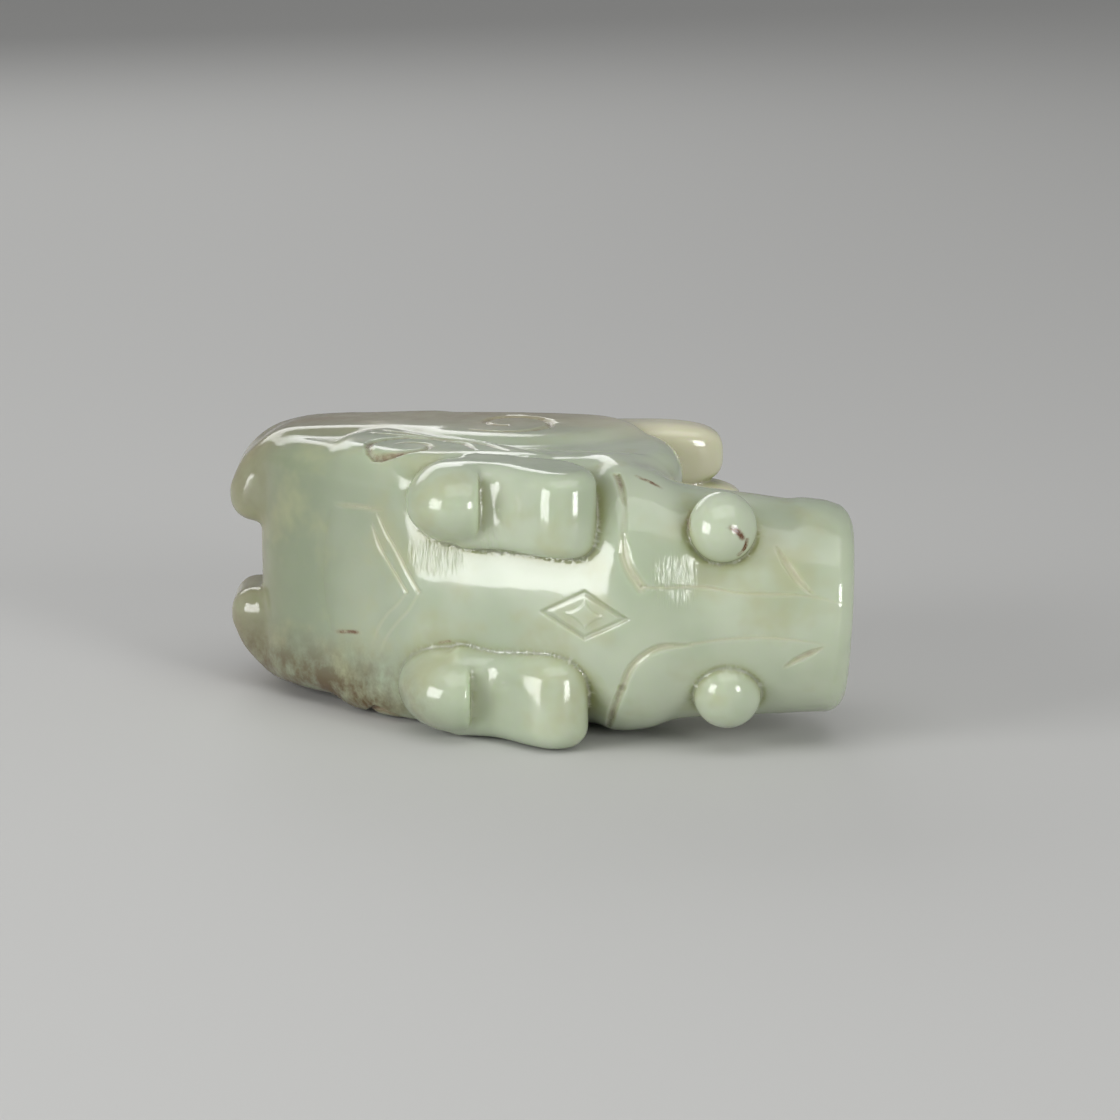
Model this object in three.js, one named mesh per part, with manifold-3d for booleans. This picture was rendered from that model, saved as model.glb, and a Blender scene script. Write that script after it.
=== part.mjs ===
// A small jade carving of a crouching horned bird, lying on its side.
//
// The carving is one piece of nephrite cut from a slab, so both flanks end in the slab's two
// flat faces. Millimetres. X runs forward to the beak, Y from the crown of the head down to
// the feet, and Z sideways from the middle plane. Lying on its flank the bird has the same
// axes with Z up, so the finished carving is only moved, to put the origin under its middle.

import * as THREE from 'three';
import { LoftGeometry } from 'three/addons/geometries/LoftGeometry.js';
import { mergeVertices } from 'three/addons/utils/BufferGeometryUtils.js';
import Module from 'manifold-3d';

const wasm = await Module();
wasm.setup();

// Driving sizes
const SLAB = 24.5;            // thickness of the jade slab, and so of the bird
const HALF = SLAB / 2;
const BEAK_FRONT = 25.5;      // the blunt end of the beak
const TAIL_END = -30.1;       // the ends of the tail's two lobes
const BASE = 35;              // soles of the feet and underside of the tail
const BROW = 8;               // behind this the crown falls towards the back

// Head: half width, and depth of the sections, at stations from the neck to the beak
const HEAD = [
  { x: -14, half: 8.6, deep: 17.6 },
  { x: -9, half: 10.0, deep: 17.6 },
  { x: -2, half: 10.9, deep: 17.4 },
  { x: 4.5, half: 11.4, deep: 17.2 },
  { x: 7.5, half: 10.7, deep: 17.2 },
  { x: 10.5, half: 9.8, deep: 17.2 },
  { x: 17, half: 9.4, deep: 17.2 },
  { x: 24.3, half: 8.9, deep: 17.2 },
];
const HEAD_SQUARE = 3;        // squareness of the head's rounded sections
const BEAK_ROUND = 1.2;       // rounding of the beak's front edge
const HEAD_TURN = 0.045;      // slope by which the head turns to the lower side
const TURN_FROM = 5;          // and where that turn begins

// Carved by hand, so the two sides differ: the upper one comes first
const EYES = [
  { side: 1, x: 13.9, y: 2.4, z: 7.6, radius: 3.0 },
  { side: -1, x: 14.4, y: 2.4, z: 7.2, radius: 2.95 },
];
const HORNS = [
  { side: 1, front: 3.2, inner: 4.6, ball: { x: -10.1, z: 9.0, radius: 3.3 }, saddle: -6.3 },
  { side: -1, front: 2.8, inner: 3.8, ball: { x: -11.0, z: 9.1, radius: 3.4 }, saddle: -7.0 },
];
const HORN_BALL_Y = 6.9;
const HORN_ROUND = 1.6;       // rounding of the edges, here and below
const WING_ROUND = 1.3;
const HAUNCH_ROUND = 2.6;
const TRUNK = { half: 11.2, round: 5.5 };
const TAIL_THICK = 10.8;
const TAIL_ROUND = 2.2;
const TAIL_START = -19;       // from here the tail's back bends down towards its end
const TAIL_DROP = 1.6;
const NOTCH = { half: 3.1, floor: -26.8 };   // the gap between the tail's lobes
const TOES = [
  { z: 8.1, tip: 15.2, half: 2.5 },
  { z: 3.0, tip: 17.2, half: 2.6 },
];
const TOE_TALL = 6.4;
const HEEL = -3;

// Carved lines: their width, and the lozenge of the diamond on the forehead
const LINE_WIDTH = 0.8;
const FINE_LINE = 0.6;
const SPIRAL_LINE = 1.0;
const DIAMOND = { x: 2.1, long: 4.0, wide: 2.3 };

// The line of the crown: level along the beak, falling behind the brow
const crown = (x) => 0.1614 * Math.max(BROW - x, 0) ** 1.28;

// A value of the head's stations at x, eased from one station to the next
function along(key, x) {
  const last = HEAD.length - 1;
  if (x <= HEAD[0].x) return HEAD[0][key];
  if (x >= HEAD[last].x) return HEAD[last][key];
  const slope = (j) => {
    if (j === 0 || j === last) return 0;
    const before = (HEAD[j][key] - HEAD[j - 1][key]) / (HEAD[j].x - HEAD[j - 1].x);
    const after = (HEAD[j + 1][key] - HEAD[j][key]) / (HEAD[j + 1].x - HEAD[j].x);
    return before * after > 0 ? (2 * before * after) / (before + after) : 0;
  };
  const i = HEAD.findIndex((station) => station.x > x) - 1;
  const span = HEAD[i + 1].x - HEAD[i].x;
  const t = (x - HEAD[i].x) / span;
  return (2 * t ** 3 - 3 * t ** 2 + 1) * HEAD[i][key]
    + (t ** 3 - 2 * t ** 2 + t) * span * slope(i)
    + (3 * t ** 2 - 2 * t ** 3) * HEAD[i + 1][key]
    + (t ** 3 - t ** 2) * span * slope(i + 1);
}

// How far the turned head lies to the side at x
const sway = (x) => -HEAD_TURN * Math.max(x - TURN_FROM, 0);

// The height of the head's upper surface
function headTop(x, z) {
  const tall = (along('deep', x) - crown(x)) / 2;
  const across = Math.min(Math.abs(z - sway(x)) / along('half', x), 0.98);
  return crown(x) + tall * (1 - (1 - across ** HEAD_SQUARE) ** (1 / HEAD_SQUARE));
}

// From a closed geometry to a solid
function solid(geometry) {
  const bare = new THREE.BufferGeometry();
  bare.setAttribute('position', geometry.attributes.position);
  bare.setIndex(geometry.index);
  const g = mergeVertices(bare, 1e-4);
  const corners = Array.from(g.index.array);
  const kept = [];
  for (let i = 0; i < corners.length; i += 3) {
    const [a, b, c] = corners.slice(i, i + 3);
    if (a !== b && b !== c && c !== a) kept.push(a, b, c);
  }
  return new wasm.Manifold(new wasm.Mesh({
    numProp: 3,
    vertProperties: new Float32Array(g.attributes.position.array),
    triVerts: new Uint32Array(kept),
  }));
}

// And from a solid back to a geometry
function geometryOf(body) {
  const mesh = body.getMesh();
  const g = new THREE.BufferGeometry();
  g.setAttribute('position', new THREE.BufferAttribute(new Float32Array(mesh.vertProperties), 3));
  g.setIndex(new THREE.BufferAttribute(new Uint32Array(mesh.triVerts), 1));
  return g;
}

const joined = (bodies) => bodies.reduce((all, body) => all.add(body));
const SIDES = [1, -1];

// A rounded mass: a ball squared by a power, sized, turned in the side view and placed
function mass({ x, y, z = 0, size, power = 2, turn = 0, around = 28, rings = 16 }) {
  const g = new THREE.SphereGeometry(1, around, rings);
  const p = g.attributes.position;
  const v = new THREE.Vector3();
  for (let i = 0; i < p.count; i++) {
    v.fromBufferAttribute(p, i);
    const sum = Math.abs(v.x) ** power + Math.abs(v.y) ** power + Math.abs(v.z) ** power;
    v.multiplyScalar(sum ** (-1 / power));
    p.setXYZ(i, v.x, v.y, v.z);
  }
  g.scale(...size);
  g.rotateZ(THREE.MathUtils.degToRad(turn));
  g.translate(x, y, z);
  return solid(g);
}

// A ring of a squared ellipse across X, with its corners rounded by the power
function ring(x, y, z, tall, wide, power, around) {
  const points = [];
  const swell = (v) => Math.sign(v) * Math.abs(v) ** (2 / power);
  for (let i = 0; i < around; i++) {
    const angle = (i / around) * Math.PI * 2;
    points.push(new THREE.Vector3(x, y + tall * swell(Math.cos(angle)), z + wide * swell(Math.sin(angle))));
  }
  return points;
}

const loft = (sections) => solid(new LoftGeometry(sections, { capStart: true, capEnd: true }));

// A plate cut to a side outline, lying between two levels of Z, with rounded edges
function plate(outline, low, high, round, bevelSegments = 3) {
  const g = new THREE.ExtrudeGeometry(outline, {
    depth: high - low - 2 * round,
    curveSegments: 6,
    bevelEnabled: round > 0,
    bevelThickness: round,
    bevelSize: round,
    bevelOffset: -round,
    bevelSegments,
  });
  g.translate(0, 0, low + round);
  return solid(g);
}

// The same plate on one flank, from the level "deep" out to the slab's face
function flankPlate(outline, deep, round, side) {
  return side > 0 ? plate(outline, deep, HALF, round) : plate(outline, -HALF, -deep, round);
}

// A smooth closed outline through a few points
function loopThrough(points, count) {
  const curve = new THREE.CatmullRomCurve3(points.map(([x, y]) => new THREE.Vector3(x, y, 0)), true);
  return curve.getPoints(count).slice(0, count).map((p) => new THREE.Vector2(p.x, p.y));
}

const outlineThrough = (points, count) => new THREE.Shape(loopThrough(points, count));

// A pillow: a side outline that shrinks towards its middle where the flanks round over
function pillow(points, count, middle, { half, round }) {
  const loop = loopThrough(points, count);
  if (THREE.ShapeUtils.isClockWise(loop)) loop.reverse();
  const reach = loop.reduce((sum, p) => sum + p.distanceTo(middle), 0) / loop.length;
  const turns = [-90, -66, -44, -22, -1, 1, 22, 44, 66, 90].map(THREE.MathUtils.degToRad);
  return loft(turns.map((turn) => {
    const z = Math.sign(turn) * (half - round) + round * Math.sin(turn);
    const shrink = 1 - (round * (1 - Math.cos(turn))) / reach;
    return loop.map((p) => new THREE.Vector3(
      middle.x + (p.x - middle.x) * shrink, middle.y + (p.y - middle.y) * shrink, z,
    ));
  }));
}

// Head and beak: rounded sections, then the side outline with the hook of the beak
function head() {
  const front = BEAK_FRONT - BEAK_ROUND;
  const section = (x, inset) => {
    const tall = (along('deep', x) - crown(x)) / 2;
    return ring(x, crown(x) + tall, 0, tall - inset, along('half', x) - inset, HEAD_SQUARE, 32);
  };
  const sections = [section(-14, 3), section(-12.5, 1.2)];
  for (const x of [-10.5, -8, -5, -2, 0.5, 2.5, 4.5, 6, 7.5, 9, 10.5, 13.5, 18, front]) {
    sections.push(section(x, 0));
  }
  for (const turn of [Math.PI / 5, Math.PI / 3, Math.PI / 2]) {
    const end = section(front, BEAK_ROUND * (1 - Math.cos(turn)));
    end.forEach((p) => p.setX(front + BEAK_ROUND * Math.sin(turn)));
    sections.push(end);
  }
  for (const p of sections.flat()) {
    const ahead = Math.max(p.x - TURN_FROM, 0) / (BEAK_FRONT - TURN_FROM);
    p.x += HEAD_TURN * ahead * (p.z - along('half', front) + BEAK_ROUND);
    p.z += sway(p.x);
  }
  const side = new THREE.Shape();
  side.moveTo(-15, -2);
  side.lineTo(27, -2);
  side.lineTo(27, 5);
  side.quadraticCurveTo(25.4, 8, 24.9, 11.5);
  side.quadraticCurveTo(24.3, 15.8, 21.8, 16.7);
  side.quadraticCurveTo(21.0, 13.7, 17.8, 13.3);
  side.quadraticCurveTo(14.5, 13.6, 11, 14.2);
  side.quadraticCurveTo(2, 16.6, -15, 18);
  side.closePath();
  return loft(sections).intersect(plate(side, -HALF - 1, HALF + 1, 0));
}

// Back, rump and breast: one rounded body, narrower than the slab
function trunk() {
  const outline = [
    [6, 10.5], [-3, 5.6], [-9, 7.1], [-13, 8.6], [-16, 11.8], [-19, 15.6], [-22, 18.7], [-24.8, 21.4],
    [-26.6, 24.4], [-26.8, 28], [-24.5, 32.5], [-17, 34.2], [-4, 34.2], [5, 31.5], [10, 26], [11, 19.5],
    [9.6, 14],
  ];
  return pillow(outline, 44, new THREE.Vector2(-8, 20), TRUNK);
}

// The folded wing: from the shoulder behind the horn to a tip low on the flank
function wing(side) {
  const outline = outlineThrough([
    [-0.2, 12.3], [-2.6, 15.8], [-6.2, 19.9], [-11, 22.6], [-15.0, 25.9], [-18.4, 24.9],
    [-20.6, 20.8], [-19.6, 15.8], [-16.8, 11.6], [-13.4, 10.5], [-8, 11.2], [-1.8, 10.5],
  ], 40);
  return flankPlate(outline, 8, WING_ROUND, side);
}

// The haunch, a full round on the lower flank
function haunch(side) {
  const outline = outlineThrough([
    [7.6, 27.6], [5.2, 33.0], [-2, BASE], [-12, BASE], [-17.5, 32], [-16.5, 26.5],
    [-11, 21.5], [-3, 19.6], [4.4, 22.2],
  ], 30);
  return flankPlate(outline, -HAUNCH_ROUND, HAUNCH_ROUND, side);
}

// The tail, a thick block whose end is parted into two round lobes
function tail(side) {
  const round = TAIL_ROUND;
  const corner = new THREE.Vector3(TAIL_END + round, NOTCH.half + round, 0);
  const outer = new THREE.CatmullRomCurve3([
    new THREE.Vector3(corner.x, corner.y + 0.5, 0),
    new THREE.Vector3(corner.x + 0.8, corner.y + 2.2, 0),
    new THREE.Vector3(corner.x + 2.4, corner.y + 3.6, 0),
    new THREE.Vector3(corner.x + 4.8, HALF - round - 0.4, 0),
    new THREE.Vector3(TAIL_START, HALF - round, 0),
  ]);
  const plan = [
    new THREE.Vector2(-12, 0),
    new THREE.Vector2(NOTCH.floor + round, 0),
    new THREE.Vector2(NOTCH.floor + round, corner.y),
    new THREE.Vector2(corner.x, corner.y),
    ...outer.getPoints(12).map((p) => new THREE.Vector2(p.x, p.y)),
    new THREE.Vector2(-12, HALF - round),
  ];
  const g = new THREE.ExtrudeGeometry(new THREE.Shape(plan), {
    depth: TAIL_THICK - 2 * round,
    bevelEnabled: true,
    bevelThickness: round,
    bevelSize: round,
    bevelSegments: 4,
  });
  // The plan outline stands up from the base: its Y becomes Z and its depth becomes Y
  g.rotateX(side * Math.PI / 2);
  g.translate(0, side > 0 ? BASE - round : BASE - TAIL_THICK + round, 0);
  const p = g.attributes.position;
  for (let i = 0; i < p.count; i++) {
    const up = (BASE - p.getY(i)) / TAIL_THICK;
    const back = Math.max(TAIL_START - p.getX(i), 0) / (TAIL_START - TAIL_END);
    p.setY(i, p.getY(i) + up * TAIL_DROP * back ** 2);
  }
  return solid(g);
}

// Toes lying forward along the base, lower towards their tips
const toes = (side) => TOES.map(({ z, tip, half }) => {
  const reach = (tip - HEEL) / 2;
  return mass({
    x: HEEL + reach, y: BASE - TOE_TALL / 2 + 0.4, z: side * z, size: [reach, TOE_TALL / 2, half],
    power: 3, turn: 3, around: 16, rings: 10,
  });
});

// A bottle horn lying back along the crown: a drum in front, a saddle, and a ball behind
function horn({ side, front, inner, ball, saddle }) {
  const outline = outlineThrough([
    [front, 4.0], [front - 0.9, 1.9], [front - 3.2, 1.2], [front - 6.0, 1.9], [front - 7.8, 3.4],
    [saddle, 4.6], [ball.x + 1.4, 5.2], [ball.x - 1.6, 6.2], [ball.x - 1.6, 9.0], [saddle - 1, 10.0],
    [front - 5.2, 9.4], [front - 1.8, 7.8],
  ], 34);
  return [
    flankPlate(outline, inner, HORN_ROUND, side),
    mass({
      x: ball.x, y: HORN_BALL_Y, z: side * ball.z, size: [ball.radius, ball.radius + 0.1, ball.radius + 0.15],
      around: 20, rings: 14,
    }),
  ];
}

const eye = ({ side, x, y, z, radius }) => mass({
  x, y, z: side * z, size: [radius, radius, radius], around: 18, rings: 12,
});

// A carved line: a square rod along a curve, set on edge in the surface and taken out
function furrow(points, steps, width = LINE_WIDTH) {
  const r = width / 2;
  const corners = [[r, 0], [0, r], [-r, 0], [0, -r]];
  const section = new THREE.Shape(corners.map(([x, y]) => new THREE.Vector2(x, y)));
  const extrudePath = new THREE.CatmullRomCurve3(points);
  return solid(new THREE.ExtrudeGeometry(section, { steps, extrudePath, bevelEnabled: false }));
}

// The brow turns into the nose: two lines that make a T with a broad stem
function browLine(side) {
  const route = [
    [4.8, 10.5], [5.5, 9.4], [5.7, 7.6], [5.6, 5.2], [6.0, 3.8], [7.2, 2.9], [10, 2.6], [15, 2.3],
    [23.8, 2.2],
  ];
  const point = ([x, out]) => {
    const z = sway(x) + side * out;
    return new THREE.Vector3(x, headTop(x, z), z);
  };
  return furrow(route.map(point), 22);
}

// A spiral in the flat of the flank
function spiral(side, x, y, outer, turns, start) {
  const points = [];
  const count = Math.round(turns * 8);
  const tighten = 0.72;
  for (let i = 0; i <= count; i++) {
    const t = i / count;
    const r = outer * (1 - tighten * t);
    const angle = start + turns * Math.PI * 2 * t;
    points.push(new THREE.Vector3(x + r * Math.cos(angle), y + r * Math.sin(angle), side * HALF));
  }
  return furrow(points, Math.round(count * 1.6), SPIRAL_LINE);
}

// A feather line, drawn in the flat of the flank towards the wing's tip
function feather(side, route) {
  return furrow(route.map(([x, y]) => new THREE.Vector3(x, y, side * HALF)), 10);
}

// The diamond on the forehead
function diamond() {
  const { x: middle, long, wide } = DIAMOND;
  const corners = [[middle + long, 0], [middle, wide], [middle - long, 0], [middle, -wide]];
  return corners.map(([x, z], i) => {
    const [nextX, nextZ] = corners[(i + 1) % corners.length];
    const route = [0, 0.33, 0.67, 1].map((t) => {
      const px = x + (nextX - x) * t;
      const pz = z + (nextZ - z) * t;
      return new THREE.Vector3(px, headTop(px, pz), pz);
    });
    return furrow(route, 3, FINE_LINE);
  });
}

// The mouth runs back from the hook of the beak and ends in a small curl below the eye
function mouth(side) {
  const route = [[18.6, 13.4], [17.4, 11.6], [14.6, 11.0], [11.8, 11.8], [11.2, 12.9], [12.2, 13.3]];
  const flank = (x, y) => {
    const tall = along('deep', x) / 2;
    const down = Math.min(Math.abs(y - tall) / tall, 0.98);
    return side * along('half', x) * (1 - down ** HEAD_SQUARE) ** (1 / HEAD_SQUARE) + sway(x);
  };
  return furrow(route.map(([x, y]) => new THREE.Vector3(x, y, flank(x, y))), 16);
}

// The block of stone: the slab's two faces, and the plane that the feet stand on
function block() {
  const long = 90;
  const g = new THREE.BoxGeometry(long, long, SLAB);
  g.translate(0, BASE - long / 2, 0);
  return solid(g);
}

const bodies = [
  head(),
  trunk(),
  ...SIDES.flatMap((side) => [wing(side), haunch(side), tail(side), ...toes(side)]),
  ...HORNS.flatMap(horn),
  ...EYES.map(eye),
];
const sideLines = SIDES.flatMap((side) => [
  browLine(side),
  mouth(side),
  spiral(side, -13.0, 15.0, 3.9, 1.25, Math.PI * 0.25),
  spiral(side, -4.6, 27.6, 5.0, 1.1, Math.PI * 1.25),
  feather(side, [[-7.4, 14.0], [-8.6, 17.4], [-12.8, 20.4], [-16.9, 22.6]]),
  feather(side, [[-4.6, 13.8], [-7.2, 17.6], [-11.6, 20.6], [-15.9, 23.9]]),
]);
const lines = joined([...sideLines, ...diamond()]);
const bird = joined(bodies).intersect(block()).subtract(lines);

const jade = new THREE.MeshStandardMaterial({ color: 0xbbc7b4, roughness: 0.12, metalness: 0 });
const carving = new THREE.Mesh(geometryOf(bird), jade);
carving.name = 'jade_bird';

const group = new THREE.Group();
const box = new THREE.Box3().setFromObject(carving);
group.position.set(-(box.min.x + box.max.x) / 2, -(box.min.y + box.max.y) / 2, HALF);
group.add(carving);

export default group;
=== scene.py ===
# A small jade carving of a crouching horned bird, polished by hand, lying on its flank.
#
# The carving is shaped in its own millimetres: x runs forward to the beak, y from the crown
# down to the feet and z sideways from the middle plane. The last step moves it into the frame.

import math

import bpy
import numpy as np
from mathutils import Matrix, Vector


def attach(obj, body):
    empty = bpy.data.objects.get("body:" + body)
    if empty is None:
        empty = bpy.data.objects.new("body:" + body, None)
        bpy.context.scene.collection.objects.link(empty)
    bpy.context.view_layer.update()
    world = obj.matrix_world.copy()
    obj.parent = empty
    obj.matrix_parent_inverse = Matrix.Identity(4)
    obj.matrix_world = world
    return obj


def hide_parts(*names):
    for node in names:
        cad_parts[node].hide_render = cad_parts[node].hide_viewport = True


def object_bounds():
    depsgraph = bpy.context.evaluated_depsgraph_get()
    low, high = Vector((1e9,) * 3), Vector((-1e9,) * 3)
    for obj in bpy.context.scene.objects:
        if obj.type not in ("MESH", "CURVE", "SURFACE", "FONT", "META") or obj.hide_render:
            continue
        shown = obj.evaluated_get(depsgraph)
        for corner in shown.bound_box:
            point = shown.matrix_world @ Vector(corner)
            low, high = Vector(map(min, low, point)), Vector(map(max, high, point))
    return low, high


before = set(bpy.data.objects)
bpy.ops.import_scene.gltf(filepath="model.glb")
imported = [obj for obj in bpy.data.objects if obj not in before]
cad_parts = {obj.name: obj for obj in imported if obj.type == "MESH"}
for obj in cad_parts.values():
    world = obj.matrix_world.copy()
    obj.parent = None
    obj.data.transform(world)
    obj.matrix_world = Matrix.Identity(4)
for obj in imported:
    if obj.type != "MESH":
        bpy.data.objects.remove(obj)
cad_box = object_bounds()

MM = 0.001

# Driving sizes of the carving, in mm
SLAB = 24.5
HALF = SLAB / 2
BEAK_FRONT = 25.5
TAIL_END = -30.1
BASE = 35.0
BROW, BROW_ROUND = 8.0, 4.5
NAPE_SLOPE, NAPE_BEND = 0.47, 0.0015

# Head: station along x, half width, half height
HEAD = np.array([
    (-14, 8.6, 9.9), (-9, 10.0, 9.9), (-2, 10.7, 9.9), (2.2, 11.1, 9.7), (4.8, 12.0, 9.4),
    (7.5, 11.5, 9.0), (10.5, 10.4, 8.7), (17, 9.7, 8.6), (24.3, 9.15, 8.6),
])
HEAD_SQUARE = 2.05
BEAK_ROUND = 1.8
HEAD_TURN = 0.045
TURN_FROM = 5.0

# The two sides were carved by eye, so they differ: the upper one comes first
EYES = [
    dict(side=1, x=13.9, y=2.4, z=7.6, radius=3.0),
    dict(side=-1, x=14.4, y=2.4, z=7.2, radius=2.95),
]
HORNS = [
    dict(side=1, front=3.2, inner=4.7, round=1.5, crest=6.9,
         ball=(-8.9, 8.55), size=(4.55, 5.6, 3.75), wall=-6.9),
    dict(side=-1, front=2.5, inner=3.9, round=2.1, crest=9.8,
         ball=(-8.7, 8.15), size=(5.6, 7.0, 4.1), wall=-7.7),
]
HORN_BALL_TOP = 3.4
SADDLE_LEAN = 0.33             # how far the crest shifts inwards per mm behind the drum
DOME = 12.6                    # radius to which the horns' tops are rounded across
EYE_LEAN = 0.17
WING_FROM, WING_ROUND = 7.0, 2.1
HAUNCH_ROUND = 2.6
TRUNK_HALF, TRUNK_ROUND = 11.5, 2.6
TAIL_THICK, TAIL_ROUND, TAIL_START, TAIL_DROP = 10.8, 2.2, -19.0, 1.6
NOTCH_HALF, NOTCH_FLOOR = 3.1, -26.8
TOES = [dict(z=8.4, tip=15.0, half=3.1), dict(z=3.3, tip=16.9, half=2.9)]
TOE_TALL, HEEL = 6.4, -3.0
EDGE = 0.45                    # rounding that polishing leaves on the slab's own edges

# Mesh: spacing of the coarse net, and the shortest edge that lines and creases are cut to
NET = 0.46
FINE = 0.12
INSET = 0.06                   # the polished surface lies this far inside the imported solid's sizes


# Curves and outlines

def hermite(t, start, end, leave, arrive):
    """A cubic from start to end with the slopes it leaves and arrives at."""
    return ((2 * t**3 - 3 * t**2 + 1) * start + (t**3 - 2 * t**2 + t) * leave
            + (3 * t**2 - 2 * t**3) * end + (t**3 - t**2) * arrive)


def curve_through(points, closed=False, per=8):
    """A smooth centripetal curve through a few points, as a polyline."""
    p = np.array(points, float)
    if closed:
        ends = [p[-1:], p, p[:2]]
    else:
        ends = [2 * p[:1] - p[1:2], p, 2 * p[-1:] - p[-2:-1]]
    q = np.concatenate(ends)
    t = np.linspace(0, 1, per, endpoint=False)[:, None]
    spans = []
    for a, b, c, d in zip(q, q[1:], q[2:], q[3:]):
        before, here, after = (math.sqrt(np.linalg.norm(v)) for v in (b - a, c - b, d - c))
        leave = (b - a) / before - (c - a) / (before + here) + (c - b) / here
        arrive = (c - b) / here - (d - b) / (here + after) + (d - c) / after
        spans.append(hermite(t, b, c, leave * here, arrive * here))
    if not closed:
        spans.append(p[-1:])
    return np.concatenate(spans)


def along(x, column):
    """A value of the head's stations at x, eased from one station to the next."""
    at, value = HEAD[:, 0], HEAD[:, column]
    slope = np.diff(value) / np.diff(at)
    before, after = slope[:-1], slope[1:]
    turn = np.where(before * after > 0, 2 * before * after / (before + after + 1e-12), 0)
    turn = np.concatenate([[0], turn, [0]])
    x = np.clip(x, at[0], at[-1] - 1e-6)
    i = np.clip(np.searchsorted(at, x, side="right") - 1, 0, len(at) - 2)
    span = at[i + 1] - at[i]
    t = (x - at[i]) / span
    return hermite(t, value[i], value[i + 1], span * turn[i], span * turn[i + 1])


def crown(x):
    """The line of the crown: level along the beak, rounding at the brow into a falling nape."""
    back = np.maximum(BROW - x, 0)
    nape = np.maximum(back - BROW_ROUND, 0)
    brow = np.minimum(back, BROW_ROUND)
    return NAPE_SLOPE * (brow * brow / (2 * BROW_ROUND) + nape) + NAPE_BEND * nape * nape


def sway(x):
    """How far the turned head lies to the side at x."""
    return -HEAD_TURN * np.maximum(x - TURN_FROM, 0)


class Outline:
    """The distance to a closed outline, less than zero inside it, kept on a fine grid."""

    PITCH = 0.14

    def __init__(self, loop, low=(-34.0, -4.0), high=(30.0, 39.0)):
        loop = np.array(loop, float)
        self.low = np.array(low)
        xs, ys = (np.arange(a, b, self.PITCH) for a, b in zip(low, high))
        x, y = np.meshgrid(xs, ys, indexing="ij")
        nearest = np.full(x.shape, 1e9)
        inside = np.zeros(x.shape, bool)
        for (ax, ay), (bx, by) in zip(loop, np.roll(loop, -1, axis=0)):
            ex, ey = bx - ax, by - ay
            t = np.clip(((x - ax) * ex + (y - ay) * ey) / (ex * ex + ey * ey + 1e-12), 0, 1)
            nearest = np.minimum(nearest, (x - ax - t * ex) ** 2 + (y - ay - t * ey) ** 2)
            if ey != 0:
                inside ^= ((ay > y) != (by > y)) & (x < (y - ay) * ex / ey + ax)
        self.grid = np.where(inside, -1, 1) * np.sqrt(nearest)

    def __call__(self, x, y):
        u = np.clip((x - self.low[0]) / self.PITCH, 0, self.grid.shape[0] - 1.001)
        v = np.clip((y - self.low[1]) / self.PITCH, 0, self.grid.shape[1] - 1.001)
        i, j = u.astype(int), v.astype(int)
        s, t = u - i, v - j
        g = self.grid
        return ((g[i, j] * (1 - s) + g[i + 1, j] * s) * (1 - t)
                + (g[i, j + 1] * (1 - s) + g[i + 1, j + 1] * s) * t)


# How two surfaces meet. Each value is a distance in mm, less than zero inside the stone.

def merged(a, b, soft):
    """Both masses, with a hollow fillet where they meet."""
    h = np.maximum(soft - np.abs(a - b), 0) / soft
    return np.minimum(a, b) - h * h * soft / 4


def cut_to(a, b, round_):
    """What two limits have in common, with a true round along the edge."""
    u, v = np.maximum(a + round_, 0), np.maximum(b + round_, 0)
    return np.minimum(np.maximum(a, b), -round_) + np.sqrt(u * u + v * v)


def squared_ball(x, y, z, size, power):
    """An ellipsoid squared by a power; the slope term makes the value a distance."""
    parts = [np.maximum(np.abs(v) / r, 1e-6) for v, r in zip((x, y, z), size)]
    s = sum(p**power for p in parts) ** (1 / power)
    slope = np.sqrt(sum(((p / s) ** (power - 1) / r) ** 2 for p, r in zip(parts, size)))
    return (s - 1) / slope


def rise(value, low, high):
    """From 0 at low to 1 at high with soft ends."""
    t = np.clip((value - low) / (high - low), 0, 1)
    return t * t * (3 - 2 * t)


# Outlines of the masses

def arc(start, pull, end, count=6):
    """Points of a bend from start to end, drawn towards pull."""
    t = np.linspace(0, 1, count)[1:, None]
    a, b, c = (np.array(p, float) for p in (start, pull, end))
    return list((1 - t) ** 2 * a + 2 * t * (1 - t) * b + t * t * c)


beak_side = Outline(
    [(-20, -3), (29, -3), (29, 5), (27, 5)] + arc((27, 5), (25.4, 8), (24.9, 11.5))
    + arc((24.9, 11.5), (24.3, 15.8), (21.8, 16.7)) + arc((21.8, 16.7), (21.0, 13.7), (17.8, 13.3))
    + arc((17.8, 13.3), (14.5, 13.6), (11, 14.2)) + arc((11, 14.2), (2, 16.6), (-20, 18)))

trunk_side = Outline(curve_through([
    (6, 11.5), (-3, 8.8), (-8, 9.7), (-11.8, 10.2), (-13.6, 11.0), (-16, 13.0), (-19, 15.8),
    (-22, 18.7),
    (-24.8, 21.4), (-26.6, 24.4), (-26.8, 28), (-24.5, 32.5), (-17, 34.2), (-4, 34.2),
    (5, 31.5), (10, 26), (11, 19.5), (9.6, 14)], closed=True))

WING = [(-0.2, 12.3), (-2.6, 15.8), (-6.2, 19.9), (-11, 22.6), (-15.0, 25.9), (-18.4, 24.9),
        (-20.4, 20.8), (-19.6, 17.0), (-17.2, 14.5), (-14.6, 12.4), (-11.6, 11.3), (-8, 11.4),
        (-1.8, 10.8)]
wing_side = Outline(curve_through(WING, closed=True))

haunch_side = Outline(curve_through([
    (7.6, 27.6), (5.2, 33.0), (-2, BASE), (-12, BASE), (-17.5, 32), (-16.5, 26.5),
    (-11, 21.5), (-3, 19.6), (4.4, 22.2)], closed=True))


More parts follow.
